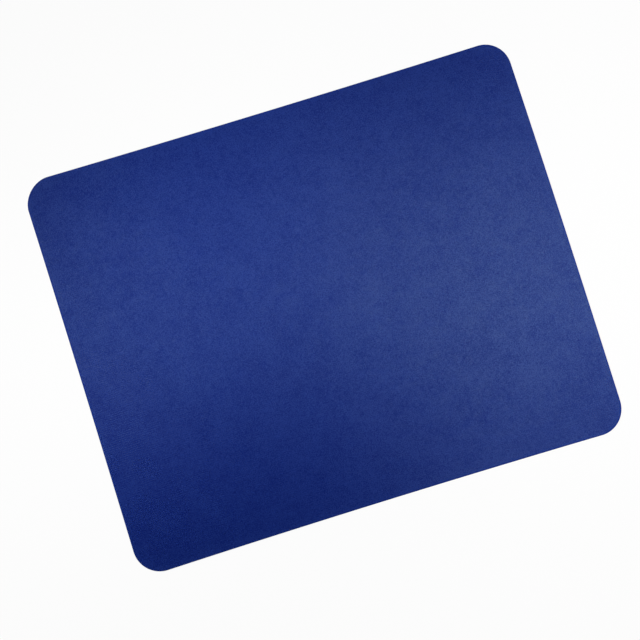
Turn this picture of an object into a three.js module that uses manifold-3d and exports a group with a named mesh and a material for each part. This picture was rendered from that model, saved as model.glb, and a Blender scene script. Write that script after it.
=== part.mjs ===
// A cloth-faced mouse pad with rounded corners, cut from one laminate: a knitted jersey face, the film
// that bonds it and a sponge-rubber base whose underside is embossed with wavy non-slip channels.
// Millimetres. X runs along the long side, Z is up, and the origin is the middle of the underside.

import * as THREE from "three";
import { toCreasedNormals } from "three/addons/utils/BufferGeometryUtils.js";
import Module from "manifold-3d";

// The outline that the die cuts
const padLength = 250;
const padDepth = 201;
const cornerRadius = 13.5;
const cornerSteps = 12;

// The layers, from the desk up
const spongeThickness = 2.4;
const filmThickness = 0.1;
const jerseyThickness = 0.5;

// The cut rim
const spongeDish = 0.25;
const dishSteps = 6;
const jerseyRoll = 0.45;
const rollSteps = 4;

// The channels embossed in the underside, and the ribs that stand between them
const ribPitch = 4.5;
const channelWidth = 1.5;
const channelDepth = 0.3;
const waveLength = 30;
const waveSwing = 2;
const cutOverrun = 1;
const waveCornerShares = [1 / 6, 1 / 3, 2 / 3, 5 / 6];

// Finishes
const jerseyColour = 0x283a7d;
const filmColour = 0xd8d4c8;
const spongeColour = 0x1b1c1e;
const jerseyRoughness = 0.95;
const filmRoughness = 0.5;
const spongeRoughness = 0.85;
const creaseAngle = Math.PI / 6;

const filmBottom = spongeThickness;
const filmTop = filmBottom + filmThickness;

const wasm = await Module();
wasm.setup();

// One turn of the cut outline, drawn in by an inset and laid at a height
function outlineRing({ inset, height }) {
  const sideways = padLength / 2 - cornerRadius;
  const away = padDepth / 2 - cornerRadius;
  const corners = [
    new THREE.Vector3(sideways, away, height),
    new THREE.Vector3(-sideways, away, height),
    new THREE.Vector3(-sideways, -away, height),
    new THREE.Vector3(sideways, -away, height),
  ];
  return corners.flatMap((centre, corner) =>
    Array.from({ length: cornerSteps + 1 }, (_, step) => {
      const angle = ((corner + step / cornerSteps) * Math.PI) / 2;
      const outward = new THREE.Vector3(Math.cos(angle), Math.sin(angle), 0);
      return centre.clone().addScaledVector(outward, cornerRadius - inset);
    }),
  );
}

// A closed skin over rings of as many points each, with a flat face over the first and the last ring
function skin(rings) {
  const sides = rings[0].length;
  const lastRing = (rings.length - 1) * sides;
  const faces = [];
  for (let start = 0; start < lastRing; start += sides) {
    for (let side = 0; side < sides; side++) {
      const here = start + side;
      const next = start + ((side + 1) % sides);
      faces.push(here, next, next + sides);
      faces.push(here, next + sides, here + sides);
    }
  }
  for (let side = 1; side + 1 < sides; side++) {
    faces.push(0, side + 1, side);
    faces.push(lastRing, lastRing + side, lastRing + side + 1);
  }
  const geometry = new THREE.BufferGeometry().setFromPoints(rings.flat());
  return geometry.setIndex(faces);
}

function solidFrom(geometry) {
  const vertProperties = geometry.attributes.position.array;
  const triVerts = Uint32Array.from(geometry.index.array);
  return new wasm.Manifold(new wasm.Mesh({ numProp: 3, vertProperties, triVerts }));
}

function geometryFrom(solid) {
  const { vertProperties, triVerts } = solid.getMesh();
  const geometry = new THREE.BufferGeometry();
  geometry.setAttribute("position", new THREE.BufferAttribute(vertProperties, 3));
  return geometry.setIndex(new THREE.BufferAttribute(triVerts, 1));
}

// The sponge bulges back once the die has passed, so its cut wall is dished between its two faces
function spongeRim() {
  return Array.from({ length: dishSteps + 1 }, (_, step) => {
    const rise = step / dishSteps;
    return {
      inset: spongeDish * Math.sin(Math.PI * rise),
      height: spongeThickness * rise,
    };
  });
}

// The die drags the jersey's edge down, so it meets the film flush and rolls over to the face
function jerseyRim() {
  return Array.from({ length: rollSteps + 1 }, (_, step) => {
    const angle = ((step / rollSteps) * Math.PI) / 2;
    return {
      inset: jerseyRoll * (1 - Math.cos(angle)),
      height: filmTop + jerseyThickness * Math.sin(angle),
    };
  });
}

// Where along X a channel turns: every wave has the same corners, and one wave starts at the origin
function turningPoints() {
  const waves = Math.ceil(padLength / 2 / waveLength) + 1;
  const stations = [];
  for (let wave = -waves; wave < waves; wave++) {
    waveCornerShares.forEach((share) => stations.push((wave + share) * waveLength));
  }
  return stations;
}

// The cutter of one channel is a V that stands on a strip below the underside
function channelCutter(middle) {
  const rings = turningPoints().map((x) => {
    const y = middle + waveSwing * Math.sin((2 * Math.PI * x) / waveLength);
    return [
      new THREE.Vector3(x, y + channelWidth / 2, 0),
      new THREE.Vector3(x, y, channelDepth),
      new THREE.Vector3(x, y - channelWidth / 2, 0),
      new THREE.Vector3(x, y - channelWidth / 2, -cutOverrun),
      new THREE.Vector3(x, y + channelWidth / 2, -cutOverrun),
    ];
  });
  return solidFrom(skin(rings));
}

// The channels lie either side of the middle rib and run out through the rim on all four sides, because
// the pad is cut from an embossed sheet
function embossedSponge() {
  let sponge = solidFrom(skin(spongeRim().map(outlineRing)));
  const channelsEachSide = Math.ceil((padDepth / 2 + waveSwing) / ribPitch) + 1;
  for (let place = -channelsEachSide; place < channelsEachSide; place++) {
    sponge = sponge.subtract(channelCutter((place + 1 / 2) * ribPitch));
  }
  return geometryFrom(sponge);
}

function namedLayer(name, geometry, color, roughness) {
  const finish = new THREE.MeshStandardMaterial({ color, roughness, metalness: 0 });
  const layer = new THREE.Mesh(toCreasedNormals(geometry, creaseAngle), finish);
  layer.name = name;
  return layer;
}

const filmRim = [
  { inset: 0, height: filmBottom },
  { inset: 0, height: filmTop },
];

const mousePad = new THREE.Group();
mousePad.add(
  namedLayer("foam_base", embossedSponge(), spongeColour, spongeRoughness),
  namedLayer("bond_film", skin(filmRim.map(outlineRing)), filmColour, filmRoughness),
  namedLayer("jersey_face", skin(jerseyRim().map(outlineRing)), jerseyColour, jerseyRoughness),
);

export default mousePad;
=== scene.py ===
# %% [markdown]
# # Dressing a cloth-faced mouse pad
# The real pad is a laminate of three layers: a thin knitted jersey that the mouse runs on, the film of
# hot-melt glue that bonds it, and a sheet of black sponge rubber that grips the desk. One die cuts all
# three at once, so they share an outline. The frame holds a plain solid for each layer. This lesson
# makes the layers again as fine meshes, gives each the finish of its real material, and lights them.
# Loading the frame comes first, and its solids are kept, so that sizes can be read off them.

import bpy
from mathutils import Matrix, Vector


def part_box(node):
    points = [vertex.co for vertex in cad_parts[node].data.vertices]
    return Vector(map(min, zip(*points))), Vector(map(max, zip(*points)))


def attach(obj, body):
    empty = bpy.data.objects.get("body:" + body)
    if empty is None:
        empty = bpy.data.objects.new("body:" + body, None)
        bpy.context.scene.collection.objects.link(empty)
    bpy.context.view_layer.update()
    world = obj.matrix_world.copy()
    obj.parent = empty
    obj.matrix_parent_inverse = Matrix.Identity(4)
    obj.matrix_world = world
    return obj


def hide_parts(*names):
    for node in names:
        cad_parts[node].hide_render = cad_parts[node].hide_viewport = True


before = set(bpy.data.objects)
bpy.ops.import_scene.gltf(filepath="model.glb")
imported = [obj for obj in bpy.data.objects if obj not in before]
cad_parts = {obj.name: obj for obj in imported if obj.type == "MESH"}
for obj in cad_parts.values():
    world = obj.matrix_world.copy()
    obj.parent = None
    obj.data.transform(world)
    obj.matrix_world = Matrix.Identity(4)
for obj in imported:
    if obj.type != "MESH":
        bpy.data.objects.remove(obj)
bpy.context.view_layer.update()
print("solids:", sorted(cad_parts))

# %% [markdown]
# ## Sizes
# Blender works in metres and a pad is thought of in millimetres, so a length on the pad is written as
# a number times MM. The heights of the layers and the half sides are read off the solids, so nothing
# here can drift away from them. What a box doesn't show is written down again where it is needed: the
# radius of the corners here, and the rim and the channels further on.

# %% Sizes of the laminate
import math

import bmesh
import bpy
from mathutils import Color, Vector, noise

MM = 0.001
CORNER_RADIUS = 13.5 * MM

sponge_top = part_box("foam_base")[1].z
film_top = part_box("bond_film")[1].z
face_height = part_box("jersey_face")[1].z
half_length, half_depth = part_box("foam_base")[1].xy
print("sides in mm:", round(2 * half_length / MM, 1), round(2 * half_depth / MM, 1))
print("heights in mm:", [round(height / MM, 2) for height in (sponge_top, film_top, face_height)])

# %% [markdown]
# ## The outline as it really came out
# A die cuts a true rectangle with rounded corners, but the sheet is soft. It is under a little tension
# on the press, and when it relaxes the knit pulls it slightly out of square, and its corners swing away
# from the middles of the sides, which leaves each side with a faint bow. The die is a steel strip bent
# by hand, so its corners aren't quite alike either. All of it is about a millimetre, and all of it can
# be measured in the photograph. One function moves any point of the true outline to its relaxed place,
# and it serves all three layers, so they stay flush wherever they bend.

# %% Relax a point of the cut sheet
OUT_OF_SQUARE = 1.38 * MM
BACK_BOW = 0.68 * MM
FRONT_BOW = 1.03 * MM
RIGHT_BOW = -0.42 * MM
LEFT_BOW = 0.35 * MM
CORNER_PULLS = {
    ("right", "back"): 0.30 * MM,
    ("left", "back"): -0.74 * MM,
    ("left", "front"): -0.07 * MM,
    ("right", "front"): -0.08 * MM,
}


def relaxed(x, y):
    """Where a point of the true outline lies once the sheet has relaxed."""
    across = x / half_length
    along = y / half_depth
    side_bow = RIGHT_BOW if across > 0 else LEFT_BOW
    end_bow = BACK_BOW if along > 0 else FRONT_BOW
    into_x = max(0, abs(x) - half_length + CORNER_RADIUS) / CORNER_RADIUS
    into_y = max(0, abs(y) - half_depth + CORNER_RADIUS) / CORNER_RADIUS
    corner = ("right" if across > 0 else "left", "back" if along > 0 else "front")
    pull = CORNER_PULLS[corner] * into_x * into_y
    lean = along * OUT_OF_SQUARE / 2
    moved_x = x + across * side_bow * along**2 - lean + math.copysign(pull, x * pull)
    moved_y = y + along * end_bow * across**2 + math.copysign(pull, y * pull)
    return moved_x, moved_y


for across, along in ((1, 1), (-1, 1), (-1, -1), (1, -1)):
    x, y = relaxed(across * half_length, along * half_depth)
    print("a corner relaxes by, in mm:", round(x / MM - across * half_length / MM, 2),
          round(y / MM - along * half_depth / MM, 2))

# %% [markdown]
# ## A grid that fills a rounded rectangle
# A flat face could be one polygon, but cloth needs points all over it that can rise and fall. A plain
# grid doesn't fit a rounded corner, so the points of each corner square are moved into its quarter
# disc: the larger of a point's two steps stays as its reach, and the smaller one becomes an angle. All
# faces keep four sides that way, and the points stand evenly along the cut edge. The steps are counted
# from the core, which is the rectangle a corner radius inside the outline.

# %% Points over the outline
CORNER_CELLS = 12

core_x = half_length - CORNER_RADIUS
core_y = half_depth - CORNER_RADIUS


def grid_lines(half, cell):
    """Places of the grid lines along one side: even between the corners, and even within each."""
    straight = half - CORNER_RADIUS
    cells = round(2 * straight / cell)
    middle = [straight * (2 * step / cells - 1) for step in range(cells + 1)]
    end = [straight + CORNER_RADIUS * (step + 1) / CORNER_CELLS for step in range(CORNER_CELLS)]
    return [-place for place in reversed(end)] + middle + end


def into_corner(x, y):
    """Moves a point of a corner square into the quarter disc that the rounded corner leaves."""
    across = abs(x) - core_x
    along = abs(y) - core_y
    if min(across, along) <= 0:
        return x, y
    reach = max(across, along)
    turn = math.pi / 4 * min(across, along) / reach
    if along > across:
        turn = math.pi / 2 - turn
    x = math.copysign(core_x + reach * math.cos(turn), x)
    y = math.copysign(core_y + reach * math.sin(turn), y)
    return x, y


def grid_points(cell):
    """Rows of points over the whole outline."""
    columns = grid_lines(half_length, cell)
    return [[into_corner(x, y) for x in columns] for y in grid_lines(half_depth, cell)]


def edge_of(rows):
    """What lies round the outside of a grid, anticlockwise from above."""
    right = [row[-1] for row in rows[1:-1]]
    left = [row[0] for row in rows[1:-1]]
    return rows[0] + right + rows[-1][::-1] + left[::-1]


def from_core(place):
    """The step to a point from the nearest one of the core."""
    core = Vector((max(-core_x, min(core_x, place[0])), max(-core_y, min(core_y, place[1]))))
    return Vector(place[:2]) - core


def outward(place):
    """The direction straight out of the sheet at a point of its edge."""
    return from_core(place).normalized()


print("a centimetre grid has", len(edge_of(grid_points(10 * MM))), "points round its edge")

# %% [markdown]
# ## A layer from its rim
# Jersey and film are both slabs: a lower face, a rim and an upper face. The rim is a short list of
# insets and heights, from the lower face round to the upper one, so it is a profile that is swept round
# the outline. bmesh builds the slab in code, as two grids and a band of faces between each ring of
# points and the next. The mesh is closed, so the cloth has its true thickness.

# %% Build a layer
def cover(mesh, grid, upward):
    """Faces over a grid of points, turned up or down."""
    for low_row, high_row in zip(grid, grid[1:]):
        for here in range(len(low_row) - 1):
            around = [low_row[here], low_row[here + 1], high_row[here + 1], high_row[here]]
            mesh.faces.new(around if upward else around[::-1])


def band(mesh, lower, upper):
    """Faces between two rings of as many points each."""
    for here in range(len(lower)):
        after = (here + 1) % len(lower)
        mesh.faces.new((lower[here], lower[after], upper[after], upper[here]))


def layer(rim, cell):
    """A closed slab over the outline, whose rim is a list of (inset, height) from below to above."""
    mesh = bmesh.new()
    points = grid_points(cell)
    lower, upper = (
        [[mesh.verts.new((x, y, height)) for x, y in row] for row in points]
        for height in (rim[0][1], rim[-1][1])
    )
    cover(mesh, lower, upward=False)
    cover(mesh, upper, upward=True)
    between = [[mesh.verts.new((x, y, height)) for x, y in edge_of(points)] for _, height in rim[1:-1]]
    rings = [edge_of(lower), *between, edge_of(upper)]
    for ring, (inset, _) in zip(rings, rim):
        for point in ring:
            point.co.xy -= inset * outward(point.co)
    for below, above in zip(rings, rings[1:]):
        band(mesh, below, above)
    print("a layer from", round(rim[0][1] / MM, 2), "to", round(rim[-1][1] / MM, 2), "mm up")
    return mesh


# %% [markdown]
# ## A map for each piece
# The finishes below are worked out from a point's place, so they need no map. A model that leaves
# Blender carries its finishes as square pictures, though, and a map says which spot of the picture lies
# where. An automatic map gives a hidden face as much of the picture as a face on show. Here the faces
# are sorted by the way they look, each of the six ways gets a chart, and the charts are stacked in the
# square. A stretch of its own makes the chart of a thin rim taller and that of a bonded face smaller.

# %% Lay the charts
MAP_NAME = "OFBake"
CHART_GAP = 1 * MM
LOOKS = {
    (2, 1): "up",
    (2, -1): "down",
    (1, 1): "back",
    (1, -1): "front",
    (0, 1): "right",
    (0, -1): "left",
}
HIDDEN = (0.1, 0.1)


def look_of(face):
    """The nearest of the six ways that a face can look."""
    axis = max(range(3), key=lambda number: abs(face.normal[number]))
    return LOOKS[axis, int(math.copysign(1, face.normal[axis]))]


def lay_charts(data, stretches):
    """Maps a mesh, with the faces of each look in a row of their own. Stretches are along and up it."""
    low = Vector([min(point.co[axis] for point in data.vertices) for axis in range(3)])
    high = Vector([max(point.co[axis] for point in data.vertices) for axis in range(3)])
    size = high - low
    rows = {}
    foot = CHART_GAP
    for (looked_along, _), look in LOOKS.items():
        along, up = [axis for axis in range(3) if axis != looked_along]
        rows[look] = (along, up, foot)
        foot += stretches[look][1] * size[up] + CHART_GAP
    side = max(foot, size.x + 2 * CHART_GAP)
    places = data.uv_layers.new(name=MAP_NAME).uv
    for face in data.polygons:
        look = look_of(face)
        along, up, foot = rows[look]
        stretch_along, stretch_up = stretches[look]
        for corner in face.loop_indices:
            place = data.vertices[data.loops[corner].vertex_index].co - low
            across = CHART_GAP + stretch_along * place[along]
            places[corner].vector = (across / side, (foot + stretch_up * place[up]) / side)
    print("its map is", round(side / MM), "mm wide")


# %% [markdown]
# ## From mesh to piece
# Every layer ends the same way: its points are relaxed, its edges are smooth unless they turn sharply,
# and it becomes an object that rides on the body and stands for its solid.

# %% Turn a mesh into a piece of the pad
SHARP_TURN = math.radians(40)


def plain_object(name, mesh):
    """An object of the scene that stands for no solid, or not yet."""
    data = bpy.data.meshes.new(name)
    mesh.to_mesh(data)
    mesh.free()
    made = bpy.data.objects.new(name, data)
    bpy.context.scene.collection.objects.link(made)
    return made


def piece(name, mesh, solid, stretches):
    """An object of the scene that stands for one solid of the frame."""
    for point in mesh.verts:
        point.co.xy = relaxed(*point.co.xy)
    made = plain_object(name, mesh)
    made.data.shade_smooth()
    made.data.set_sharp_from_angle(angle=SHARP_TURN)
    lay_charts(made.data, stretches)
    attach(made, "root")
    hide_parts(solid)
    print(name, "has", len(made.data.polygons), "faces")
    return made


# %% [markdown]
# ## The jersey face
# The cloth is half a millimetre of fine weft-knitted polyester. The die drags its edge down as it cuts,
# so the edge rolls over in a quarter of an ellipse, and that thin rolled line is what outlines a pad
# seen from above. The face isn't dead flat either: sponge varies a little in thickness, so the cloth
# swells by some hundredths of a millimetre over a few centimetres. Noise that is worked out from a
# point's place gives the same swell each time. A mesh can carry a number for each of its points, and
# here it carries a mask for light painted beside the cut, one at the cut and zero a few millimetres in,
# for the material to read.

# %% Make the jersey
CLOTH_CELL = 1.6 * MM
CLOTH_ROLL = 0.45 * MM
ROLL_STEPS = 5
SWELL_HEIGHT = 0.03 * MM
SWELL_SPAN = 26 * MM
# How far in from the cut light is painted on the cloth.
EDGE_LIGHT_REACH = 4 * MM
EDGE_LIGHT_MASK = "edge_light_mask"
RIM_STRETCH = 4

cloth_thickness = face_height - film_top
cloth_rim = [
    (
        CLOTH_ROLL * (1 - math.cos(math.pi / 2 * step / ROLL_STEPS)),
        film_top + cloth_thickness * math.sin(math.pi / 2 * step / ROLL_STEPS),
    )
    for step in range(ROLL_STEPS + 1)
]
cloth_mesh = layer(cloth_rim, CLOTH_CELL)
# A mask for the painted light beside the cut: one at the cut, zero a few millimetres in.
edge_light_mask = cloth_mesh.verts.layers.float.new(EDGE_LIGHT_MASK)
for point in cloth_mesh.verts:
    depth = CORNER_RADIUS - from_core(point.co).length
    point[edge_light_mask] = max(0, 1 - depth / EDGE_LIGHT_REACH)
    share = (point.co.z - film_top) / cloth_thickness
    point.co.z += share * SWELL_HEIGHT * noise.noise(Vector((point.co.x, point.co.y, 0)) / SWELL_SPAN)
cloth_charts = dict.fromkeys(LOOKS.values(), (1, RIM_STRETCH)) | {"up": (1, 1), "down": HIDDEN}
jersey = piece("knitted_jersey", cloth_mesh, "jersey_face", cloth_charts)

# %% [markdown]
# ## The bond film
# Hot-melt film comes on a roll and is laid between cloth and sponge before the press. Nothing of it
# shows but its cut edge, a hair-thin pale line round the rim. The glue was still soft when the die went
# through, so its edge lies slightly back from the cut and wanders a little. The same slab serves, with a
# coarser grid, because both its faces are hidden.

# %% Make the bond film
FILM_CELL = 2.5 * MM
FILM_SETBACK = 0.06 * MM
FILM_WANDER = 0.04 * MM
WANDER_SPAN = 9 * MM
FILM_STRETCH = 20

film_mesh = layer([(FILM_SETBACK, sponge_top), (FILM_SETBACK, film_top)], FILM_CELL)
for point in film_mesh.verts:
    drift = noise.noise(Vector((point.co.x, point.co.y, 0)) / WANDER_SPAN)
    point.co.xy += FILM_WANDER * drift * outward(point.co)
film_charts = dict.fromkeys(LOOKS.values(), (1, FILM_STRETCH)) | {"up": HIDDEN, "down": HIDDEN}
film = piece("melted_film", film_mesh, "bond_film", film_charts)

# %% [markdown]
# ## The embossed sponge
# Sponge rubber is cured between two plates, and the lower plate leaves a skin with wavy channels in it,
# which let air out from under the pad so that the ribs can grip. The pattern covers a whole sheet, and
# the die cuts across it wherever it happens to fall. The mesh is made in the same order: an embossed
# sheet a little larger than the pad first, whose rows of points follow the waves so that every channel
# is smooth, and then the cut.

# %% Make an embossed sheet
RIB_PITCH = 4.5 * MM
CHANNEL_WIDTH = 1.5 * MM
CHANNEL_DEPTH = 0.3 * MM
WAVE_LENGTH = 30 * MM
WAVE_SWING = 2 * MM
CHANNEL_STEPS = 8
RIB_STEPS = 3
WAVE_STEPS = 15
OVERRUN = 4 * MM


def channel_rows():
    """Place across the pattern and height of each row of points, channel after channel."""
    rows = []
    channels = math.ceil((half_depth + OVERRUN) / RIB_PITCH)
    rib = RIB_PITCH - CHANNEL_WIDTH
    for number in range(-channels, channels):
        middle = (number + 1 / 2) * RIB_PITCH
        for step in range(CHANNEL_STEPS + 1):
            side = 2 * step / CHANNEL_STEPS - 1
            height = CHANNEL_DEPTH * (1 + math.cos(math.pi * side)) / 2
            rows.append((middle + side * CHANNEL_WIDTH / 2, height))
        for step in range(1, RIB_STEPS):
            rows.append((middle + CHANNEL_WIDTH / 2 + rib * step / RIB_STEPS, 0))
    return rows


def embossed_sheet():
    """A closed sheet, larger than the pad, flat above and embossed below."""
    mesh = bmesh.new()
    steps = math.ceil((half_length + OVERRUN) / WAVE_LENGTH * WAVE_STEPS)
    columns = [WAVE_LENGTH * step / WAVE_STEPS for step in range(-steps, steps + 1)]
    sway = [WAVE_SWING * math.sin(2 * math.pi * x / WAVE_LENGTH) for x in columns]
    grid = [
        [mesh.verts.new((x, place + shift, height)) for x, shift in zip(columns, sway)]
        for place, height in channel_rows()
    ]
    cover(mesh, grid, upward=False)
    under = edge_of(grid)
    over = [mesh.verts.new((*point.co.xy, sponge_top)) for point in under]
    band(mesh, under, over)
    mesh.faces.new(over)
    print("embossed sheet:", len(grid), "rows of", len(columns), "points")
    return mesh


sheet_object = plain_object("sheet", embossed_sheet())

# %% [markdown]
# ## The die cut
# The cut wall isn't plumb. The blade squeezes the sponge as it passes, and the wall springs back into a
# shallow dish. It isn't smooth either, because it opens the sponge's cells. The die is a tall prism with
# that dish in its side, and noise about as coarse as large cells pushes its points in, never out, so
# that nothing black peeps out from under the cloth. A Boolean modifier then keeps the part of the sheet
# inside it, which is how the channels come to run out through the rim, as they do on a real pad. It
# leaves slivers, which are dissolved, and faces of many sides that aren't quite flat. Those are split,
# because a model that leaves Blender goes as triangles, and a bent face can fold over itself there.

# %% Cut the sponge out of the sheet
WALL_CELL = 0.8 * MM
WALL_DISH = 0.25 * MM
WALL_STEPS = 8
CELL_SIZE = 1.1 * MM
CELL_DEPTH = 0.14 * MM
WALL_STRETCH = 3
SLIVER = 0.001 * MM
FLAT_ENOUGH = math.radians(0.02)


def die():
    """A closed prism over the outline, taller than the sponge, with the cut wall's dish in its side."""
    mesh = bmesh.new()
    edge = edge_of(grid_points(WALL_CELL))
    heights = [sponge_top * step / WALL_STEPS for step in range(-1, WALL_STEPS + 2)]
    rings = []
    for height in heights:
        dish = WALL_DISH * max(0, math.sin(math.pi * height / sponge_top))
        ring = []
        for x, y in edge:
            pit = CELL_DEPTH * (1 + noise.noise(Vector((x, y, height)) / CELL_SIZE)) / 2
            place = Vector((x, y)) - (dish + pit) * outward((x, y))
            ring.append(mesh.verts.new((*place, height)))
        rings.append(ring)
    for below, above in zip(rings, rings[1:]):
        band(mesh, below, above)
    mesh.faces.new(rings[0][::-1])
    mesh.faces.new(rings[-1])
    return mesh


die_object = plain_object("die", die())
cut = sheet_object.modifiers.new("die cut", "BOOLEAN")
cut.operation = "INTERSECT"
cut.solver = "MANIFOLD"
cut.object = die_object
cut_sheet = sheet_object.evaluated_get(bpy.context.evaluated_depsgraph_get()).to_mesh()
sponge_mesh = bmesh.new()
sponge_mesh.from_mesh(cut_sheet)
bmesh.ops.dissolve_degenerate(sponge_mesh, dist=SLIVER, edges=sponge_mesh.edges)
bmesh.ops.connect_verts_nonplanar(sponge_mesh, angle_limit=FLAT_ENOUGH, faces=sponge_mesh.faces)
bpy.data.objects.remove(sheet_object)
bpy.data.objects.remove(die_object)
sponge_charts = dict.fromkeys(LOOKS.values(), (1, WALL_STRETCH)) | {"up": HIDDEN, "down": (1, 1)}
sponge = piece("sponge_sheet", sponge_mesh, "foam_base", sponge_charts)

# %% [markdown]
# ## Colours and nodes
# A colour is picked on screen as an sRGB hex value, and Blender's shaders work in linear light, so one
# function turns it round. One more adds a node to a material: its settings by name, and its sockets,
# each of which takes a plain value or another node's output. The mixer of colours keeps sockets for
# other kinds of value in the same node, so its own two and its outcome are picked out by number.

# %% Helpers for materials
FULL_BYTE = 255
COLOUR_A = 6
COLOUR_B = 7
COLOUR_OUT = 2


def linear(hex_value):
    """The linear colour, with full alpha, of an sRGB hex value."""
    red, green, blue = (byte / FULL_BYTE for byte in bytes.fromhex(hex_value))
    return (*Color((red, green, blue)).from_srgb_to_scene_linear(), 1)


def add(tree, kind, sockets=None, **settings):
    """Adds a node to a tree, sets it up and links it, and gives the node."""
    node = tree.nodes.new("ShaderNode" + kind)
    for name, value in settings.items():
        setattr(node, name, value)
    for socket, value in (sockets or {}).items():
        if isinstance(value, bpy.types.NodeSocket):
            tree.links.new(value, node.inputs[socket])
        else:
            node.inputs[socket].default_value = value
    return node


def new_material(name):
    """An empty material and its tree."""
    material = bpy.data.materials.new(name)
    material.use_nodes = True
    material.node_tree.nodes.clear()
    return material, material.node_tree


def wear(made, material):
    """Gives an object its material."""
    made.data.materials.append(material)
    print(made.name, "wears", material.name, "of", len(material.node_tree.nodes), "nodes")


print("a middle grey on screen is", round(linear("808080")[0], 3), "in linear light")

# %% [markdown]
# ## The knit
# A weft knit is a field of Vs: in every wale, which is a column of stitches, the two legs of each loop
# slant up and away from the middle. A wave that climbs the cloth gives the loops, folding its place
# across the wale bends it into Vs, and a second fold gives each leg a round back. A real wale is half a
# millimetre wide, too fine to see from a step away. It is drawn three times as coarse, with a low lift,
# so that it shows at this distance and in the pictures of an exported model.

# %% Draw the knit
DRAWN_COARSER = 3
WALE_SPACING = 0.5 * MM * DRAWN_COARSER
COURSE_SPACING = 0.36 * MM * DRAWN_COARSER
BACK_WEIGHT = 4


def knit_height(tree, split):
    """How high the yarn stands at a place that is split into its coordinates."""
    wale = add(tree, "Math", {0: split.outputs["X"], 1: 1 / WALE_SPACING}, operation="MULTIPLY")
    course = add(tree, "Math", {0: split.outputs["Y"], 1: 1 / COURSE_SPACING}, operation="MULTIPLY")
    leg = add(tree, "Math", {0: wale.outputs[0], 1: 1 / 2}, operation="PINGPONG")
    slant = add(tree, "Math", {0: leg.outputs[0], 1: course.outputs[0]}, operation="ADD")
    turn = add(tree, "Math", {0: slant.outputs[0], 1: 2 * math.pi}, operation="MULTIPLY")
    loops = add(tree, "Math", {0: turn.outputs[0]}, operation="COSINE")
    back = add(tree, "Math", {0: leg.outputs[0], 1: 1 / 4}, operation="PINGPONG")
    height = add(tree, "Math", {0: back.outputs[0], 1: BACK_WEIGHT, 2: loops.outputs[0]},
                 operation="MULTIPLY_ADD")
    return height.outputs[0]


print("wales across the cloth as drawn:", round(2 * half_length / WALE_SPACING))

# %% [markdown]
# ## Dyed polyester jersey
# Fine polyester, dyed in the piece after knitting. The stitches spread the light, so the cloth looks
# matt, with a weak sheen that is a little greener than white. What shows from a step away is a fine
# grain, because no two stitches catch the light alike, and a broad mottle from the dye. Two noises give
# them. Their sum, shifted so that its middle lies half way between the two dyes, drives both the dye
# and the roughness, so that the paler stitches are the smoother ones too. In the dye the grain is
# partly painted light and shade: stitches painted paler and deeper for lit and shaded ones. Noise is
# weakest in planes a whole number of its cells from the origin, so the grain, about as wide as a real
# stitch, is sized to put the face between two of them. Beside the cut the cloth is painted a shade
# paler, which is painted light, and its roll a slightly clearer blue, painted light that lifts the
# shade of the roll, which faces sideways, away from the lamps above. A high power of the mask finds
# that last half millimetre.

# %% Make the jersey's material
GRAIN_SIZE = 0.41 * MM
GRAIN_DETAIL = 1
GRAIN_HARSHNESS = 0.8
GRAIN_CONTRAST = 3.7
MOTTLE_SIZE = 16 * MM
MOTTLE_DETAIL = 4
MOTTLE_HARSHNESS = 1
MOTTLE_CONTRAST = 1.5
# Painted light: the dye is painted paler towards the cut.
PAINTED_LIGHT_BY_CUT = 0.25
# Painted light on the roll at the cut: how sharply the mask picks it out.
LIT_ROLL_ONSET = 16
DEEP_DYE = "001a74"
PALE_DYE = "19338a"
# Painted light: the clearer blue painted on the roll, to lift its shade.
PAINTED_LIT_ROLL = "12429a"
STITCH_HEIGHT = 0.06 * MM
STITCH_RELIEF = 0.14
ROUGHEST = 0.39
SMOOTHER_WHERE_PALE = 0.10
POLYMER_INDEX = 1.5
SHEEN_LEVEL = 0.062
SHEEN_TINT = "e3ffc8"


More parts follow.
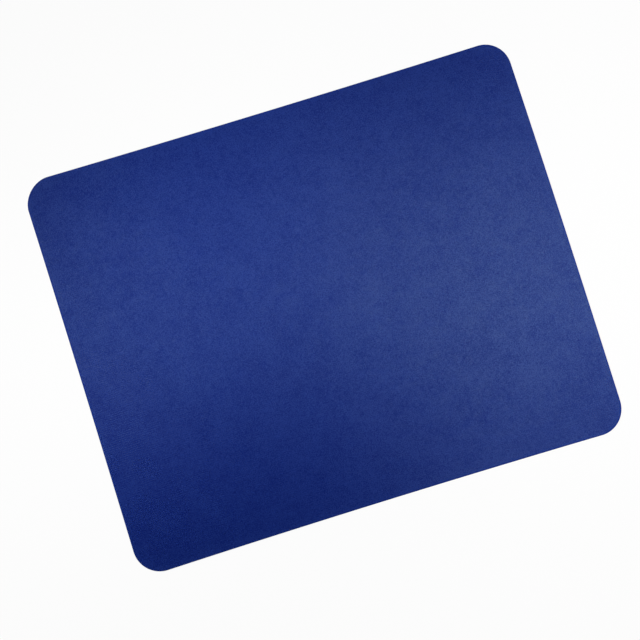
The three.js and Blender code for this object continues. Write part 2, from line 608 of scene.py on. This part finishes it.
def dyed_jersey():
    """Jersey with its knit, its mottle, its grain, which is partly painted light and shade, and light
    painted beside its cut.
    """
    material, tree = new_material("dyed_polyester_jersey")
    place = add(tree, "TexCoord").outputs["Object"]
    split = add(tree, "SeparateXYZ", {"Vector": place})
    grain = add(tree, "TexNoise", {
        "Vector": place,
        "Scale": 1 / GRAIN_SIZE,
        "Detail": GRAIN_DETAIL,
        "Roughness": GRAIN_HARSHNESS,
    })
    mottle = add(tree, "TexNoise", {
        "Vector": place,
        "Scale": 1 / MOTTLE_SIZE,
        "Detail": MOTTLE_DETAIL,
        "Roughness": MOTTLE_HARSHNESS,
    })
    edge_light_mask = add(tree, "Attribute", attribute_name=EDGE_LIGHT_MASK)
    shift = (1 - GRAIN_CONTRAST - MOTTLE_CONTRAST) / 2
    broad = add(tree, "Math", {0: mottle.outputs[0], 1: MOTTLE_CONTRAST, 2: shift},
                operation="MULTIPLY_ADD")
    # Painted light: paler towards the cut, added on top of the dye's mottle.
    rim = add(tree, "Math", {0: edge_light_mask.outputs["Fac"], 1: PAINTED_LIGHT_BY_CUT, 2: broad.outputs[0]},
              operation="MULTIPLY_ADD")
    # The grain drives the dye as well as the roughness, so in the dye it is partly painted light and
    # shade of single stitches.
    pale = add(tree, "Math", {0: grain.outputs[0], 1: GRAIN_CONTRAST, 2: rim.outputs[0]},
               operation="MULTIPLY_ADD")
    dye_and_painted_light = add(tree, "Mix", {
        0: pale.outputs[0],
        COLOUR_A: linear(DEEP_DYE),
        COLOUR_B: linear(PALE_DYE),
    }, data_type="RGBA")
    # Painted light: a high power of the mask picks out the roll, which is painted a clearer blue.
    lit_roll = add(tree, "Math", {0: edge_light_mask.outputs["Fac"], 1: LIT_ROLL_ONSET}, operation="POWER")
    colour = add(tree, "Mix", {
        0: lit_roll.outputs[0],
        COLOUR_A: dye_and_painted_light.outputs[COLOUR_OUT],
        COLOUR_B: linear(PAINTED_LIT_ROLL),
    }, data_type="RGBA")
    rough = add(tree, "Math", {0: pale.outputs[0], 1: -SMOOTHER_WHERE_PALE, 2: ROUGHEST},
                operation="MULTIPLY_ADD", use_clamp=True)
    knit = knit_height(tree, split)
    lift = add(tree, "Bump", {"Height": knit, "Distance": STITCH_HEIGHT, "Strength": STITCH_RELIEF})
    cloth = add(tree, "BsdfPrincipled", {
        "Base Color": colour.outputs[COLOUR_OUT],
        "Roughness": rough.outputs[0],
        "IOR": POLYMER_INDEX,
        "Specular IOR Level": SHEEN_LEVEL,
        "Specular Tint": linear(SHEEN_TINT),
        "Normal": lift.outputs[0],
    })
    add(tree, "OutputMaterial", {"Surface": cloth.outputs[0]})
    return material


wear(jersey, dyed_jersey())

# %% [markdown]
# ## Hot-melt film
# A polyester or polyurethane glue film, clear when hot and milky once it has set. Only its cut edge
# shows, so it needs no pattern that can't be seen there: a pale, slightly yellow white that varies a
# little along the edge, and the soft shine of set glue.

# %% Make the film's material
GLUE_PATCH = 3 * MM
GLUE_DETAIL = 3
GLUE_ROUGHNESS = 0.45
THIN_GLUE = "a8a496"
THICK_GLUE = "e4e0d4"


def set_glue():
    """Glue that has set milky, here thinner and there thicker."""
    material, tree = new_material("set_hot_melt_film")
    place = add(tree, "TexCoord").outputs["Object"]
    patch = add(tree, "TexNoise", {"Vector": place, "Scale": 1 / GLUE_PATCH, "Detail": GLUE_DETAIL})
    milk = add(tree, "Mix", {
        0: patch.outputs[0],
        COLOUR_A: linear(THIN_GLUE),
        COLOUR_B: linear(THICK_GLUE),
    }, data_type="RGBA")
    glue = add(tree, "BsdfPrincipled", {
        "Base Color": milk.outputs[COLOUR_OUT],
        "Roughness": GLUE_ROUGHNESS,
        "IOR": POLYMER_INDEX,
    })
    add(tree, "OutputMaterial", {"Surface": glue.outputs[0]})
    return material


wear(film, set_glue())

# %% [markdown]
# ## Black sponge rubber
# Natural or SBR rubber, blown into a sponge and coloured with carbon black. The plate leaves a matt
# skin with fine pinholes below, and the die opens the cells along the wall, where the mesh is pitted
# already. The cells are a few tenths of a millimetre across and are drawn half as large again, so that
# they show: painted shade in the middle tenth of a cell, which darkens the hollow of each pore, and
# plain skin past six tenths of the way out. The tops of the ribs are rubbed a little greyer by the
# desk, which a point's height finds.

# %% Make the sponge's material
PORE_SIZE = 0.6 * MM
PORE_DEPTH = 0.12 * MM
PORE_RELIEF = 0.7
PINHOLE_SHARE = 0.1
SKIN_SHARE = 0.6
RUB_REACH = 0.08 * MM
# Painted shade in the hollow of each pore.
PAINTED_PORE_SHADE = "0c0c0d"
SKIN = "202124"
RUBBED_SKIN = "34353a"
RUBBER_ROUGHNESS = 0.8
RUBBER_INDEX = 1.52
RUBBER_SHEEN = 0.35


def sponge_rubber():
    """Rubber with painted shade in its cells, its skin greyer where the desk rubs it."""
    material, tree = new_material("black_sponge_rubber")
    place = add(tree, "TexCoord").outputs["Object"]
    pores = add(tree, "TexVoronoi", {"Vector": place, "Scale": 1 / PORE_SIZE})
    wall = add(tree, "MapRange", {
        "Value": pores.outputs["Distance"],
        "From Min": PINHOLE_SHARE,
        "From Max": SKIN_SHARE,
    })
    height = add(tree, "SeparateXYZ", {"Vector": place}).outputs["Z"]
    rubbed = add(tree, "MapRange", {"Value": height, "From Min": RUB_REACH, "From Max": 0})
    skin = add(tree, "Mix", {
        0: rubbed.outputs[0],
        COLOUR_A: linear(SKIN),
        COLOUR_B: linear(RUBBED_SKIN),
    }, data_type="RGBA")
    # Painted shade: the middle of each cell is darkened.
    colour = add(tree, "Mix", {
        0: wall.outputs[0],
        COLOUR_A: linear(PAINTED_PORE_SHADE),
        COLOUR_B: skin.outputs[COLOUR_OUT],
    }, data_type="RGBA")
    pit = add(tree, "Bump", {"Height": wall.outputs[0], "Distance": PORE_DEPTH, "Strength": PORE_RELIEF})
    rubber = add(tree, "BsdfPrincipled", {
        "Base Color": colour.outputs[COLOUR_OUT],
        "Roughness": RUBBER_ROUGHNESS,
        "IOR": RUBBER_INDEX,
        "Specular IOR Level": RUBBER_SHEEN,
        "Normal": pit.outputs[0],
    })
    add(tree, "OutputMaterial", {"Surface": rubber.outputs[0]})
    return material


wear(sponge, sponge_rubber())

# %% [markdown]
# ## Cloth and foam
# The jersey is a sheet cut to the size of the pad and bonded flat, so its flat area is that of the
# outline. The sponge is a full, springy pad.

# %% [markdown]
# ## The floor
# The pad lies on a plain white table. To the camera, and in reflections, the table is a sheet of white,
# as it is in a product photograph, and the small rest of it is a white paint that takes the light of
# the lamps and so keeps the pad's shadow. Under the pad the table is plain paint with no glow, or the
# mouths of the channels would shine as if a lamp lay below them.

# %% Make the floor
FLOOR_HALF = 3
FLOOR_GAP = 0.02 * MM
SHADE_INSET = 0.5 * MM
WHITE_SHARE = 0.95
TABLE_PAINT = "f4f4f4"
WHITE = "ffffff"


def backdrop_ray(tree):
    """One for a ray that should see the white backdrop, and zero for light that falls on the pad."""
    path = add(tree, "LightPath")
    seen = add(tree, "Math", {0: path.outputs["Is Camera Ray"], 1: path.outputs["Is Glossy Ray"]},
               operation="MAXIMUM")
    through = add(tree, "Math", {0: seen.outputs[0], 1: path.outputs["Is Transmission Ray"]},
                  operation="MAXIMUM")
    return through.outputs[0]


def white_table():
    """The table as it shows: nearly all backdrop, and a little paint."""
    material, tree = new_material("white_table")
    paint = add(tree, "BsdfDiffuse", {"Color": linear(TABLE_PAINT)})
    glow = add(tree, "Emission", {"Color": linear(WHITE), "Strength": 1})
    share = add(tree, "Math", {0: backdrop_ray(tree), 1: WHITE_SHARE}, operation="MULTIPLY")
    mixed = add(tree, "MixShader", {0: share.outputs[0], 1: paint.outputs[0], 2: glow.outputs[0]})
    add(tree, "OutputMaterial", {"Surface": mixed.outputs[0]})
    return material


def shaded_paint():
    """The table under the pad: paint alone."""
    material, tree = new_material("shaded_table")
    paint = add(tree, "BsdfDiffuse", {"Color": linear(TABLE_PAINT)})
    add(tree, "OutputMaterial", {"Surface": paint.outputs[0]})
    return material


floor_mesh = bmesh.new()
floor_corners = ((-1, -1), (1, -1), (1, 1), (-1, 1))
floor_mesh.faces.new(
    [floor_mesh.verts.new((x * FLOOR_HALF, y * FLOOR_HALF, -FLOOR_GAP)) for x, y in floor_corners]
)
floor = plain_object("table", floor_mesh)
wear(floor, white_table())

shade_mesh = bmesh.new()
shaded_outline = []
for x, y in edge_of(grid_points(WALL_CELL)):
    place = Vector((x, y)) - SHADE_INSET * outward((x, y))
    shaded_outline.append(shade_mesh.verts.new((*relaxed(*place), -FLOOR_GAP / 2)))
shade_mesh.faces.new(shaded_outline)
shaded_floor = plain_object("table_under_pad", shade_mesh)
wear(shaded_floor, shaded_paint())

# %% [markdown]
# ## The light
# Three soft lamps stand high round the camera and are narrowed to the pad, and a weak even surround
# fills the rest. Cloth of this kind shows where each lamp mirrors in it, as a broad pale patch, and the
# places and spreads are chosen so that the patches lie where the photograph has them. Together they
# come to a plain level, at which a colour shows about as it is written. Places and aims are in metres
# from the middle of the pad, and spreads are in degrees. Each lamp is as wide as a fixed share of its
# distance, so that all of them look alike in size from the pad.

# %% Hang the lamps
SURROUND = 0.24
LAMPS = {
    "left": {"place": (-0.186, 0.089, 0.5), "aim": (-0.15, -0.008), "spread": 30, "watts": 0.054},
    "right": {"place": (0.269, -0.011, 0.856), "aim": (0.143, -0.028), "spread": 27, "watts": 0.221},
    "back": {"place": (0.007, 0.056, 0.535), "aim": (-0.047, 0.059), "spread": 20, "watts": 0.033},
}
SIDE_SHARE = 0.3

for name, lamp in LAMPS.items():
    place = Vector(lamp["place"])
    light = bpy.data.lights.new(name + "_lamp", "AREA")
    light.shape = "SQUARE"
    light.size = SIDE_SHARE * place.length
    light.energy = lamp["watts"]
    light.spread = math.radians(lamp["spread"])
    holder = bpy.data.objects.new(name + "_lamp", light)
    holder.location = place
    holder.rotation_euler = (Vector((*lamp["aim"], 0)) - place).to_track_quat("-Z", "Y").to_euler()
    holder.visible_camera = False
    bpy.context.scene.collection.objects.link(holder)
    print(name, "lamp stands", round(place.length, 2), "m away and is", round(light.size, 2), "m wide")

world = bpy.data.worlds.new("white_room")
world.use_nodes = True
room = world.node_tree
room.nodes.clear()
even = add(room, "Background", {"Color": linear(WHITE), "Strength": SURROUND})
far_table = WHITE_SHARE + (1 - WHITE_SHARE) * linear(TABLE_PAINT)[0] * SURROUND
white = add(room, "Background", {"Color": linear(WHITE), "Strength": far_table})
seen = add(room, "MixShader", {0: backdrop_ray(room), 1: even.outputs[0], 2: white.outputs[0]})
add(room, "OutputWorld", {"Surface": seen.outputs[0]})
bpy.context.scene.world = world

# %% [markdown]
# ## The camera
# The photograph was taken from straight above, with the pad turned about seventeen degrees on the
# table. Here the pad keeps to the axes, so it is the camera that turns. The four corners of the
# photographed outline fix where it stands, once a lens is chosen, and a short portrait lens is a fair
# guess for a product picture. Its place is in metres, and its turn about each axis in degrees.

# %% Place the camera
LENS = 70
CAMERA_PLACE = (-0.0140, -0.0287, 0.6151)
CAMERA_TURN = (2.270, -0.265, -17.136)

camera_data = bpy.data.cameras.new("overhead_camera")
camera_data.lens = LENS
camera = bpy.data.objects.new("overhead_camera", camera_data)
camera.location = CAMERA_PLACE
camera.rotation_euler = [math.radians(angle) for angle in CAMERA_TURN]
bpy.context.scene.collection.objects.link(camera)
bpy.context.scene.camera = camera
bpy.context.scene.view_settings.view_transform = "Standard"
print("the camera stands", round(camera.location.length, 2), "m from the middle of the pad")
